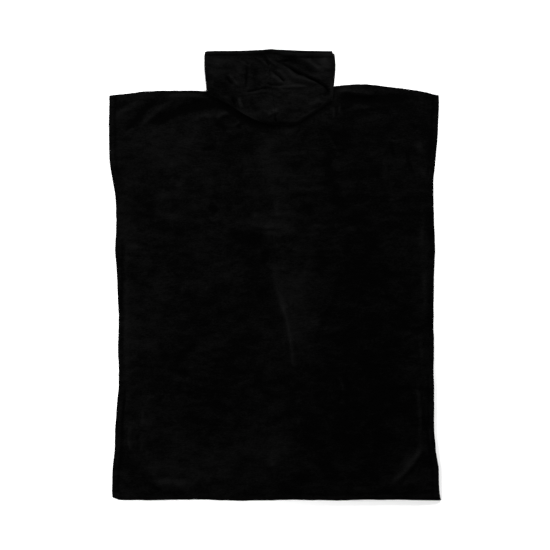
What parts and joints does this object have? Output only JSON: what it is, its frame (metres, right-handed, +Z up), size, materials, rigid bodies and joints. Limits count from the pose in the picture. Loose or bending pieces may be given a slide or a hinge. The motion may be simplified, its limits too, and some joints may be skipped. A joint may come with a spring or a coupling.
{
  "type": "hooded bath poncho",
  "caption": "Plain hooded bath poncho in velour terry, laid flat back side up with its hood turned down on the back.",
  "frame": {"origin": "middle of the laid garment's outline, on the surface that it lies on", "axes": "+X across the garment, +Y from the foot hem up to the hood, +Z up from the surface"},
  "size_m": [0.86, 1.168, 0.0219],
  "materials": {
    "velour_terry": "black cotton terry with a short sheared pile",
    "sewing_thread": "black spun polyester thread"
  },
  "bodies": {
    "root": {"front_panel": "velour_terry", "back_panel": "velour_terry", "hood_under_layers": "velour_terry", "hood_left": "velour_terry", "hood_right": "velour_terry"}
  },
  "joints": []
}
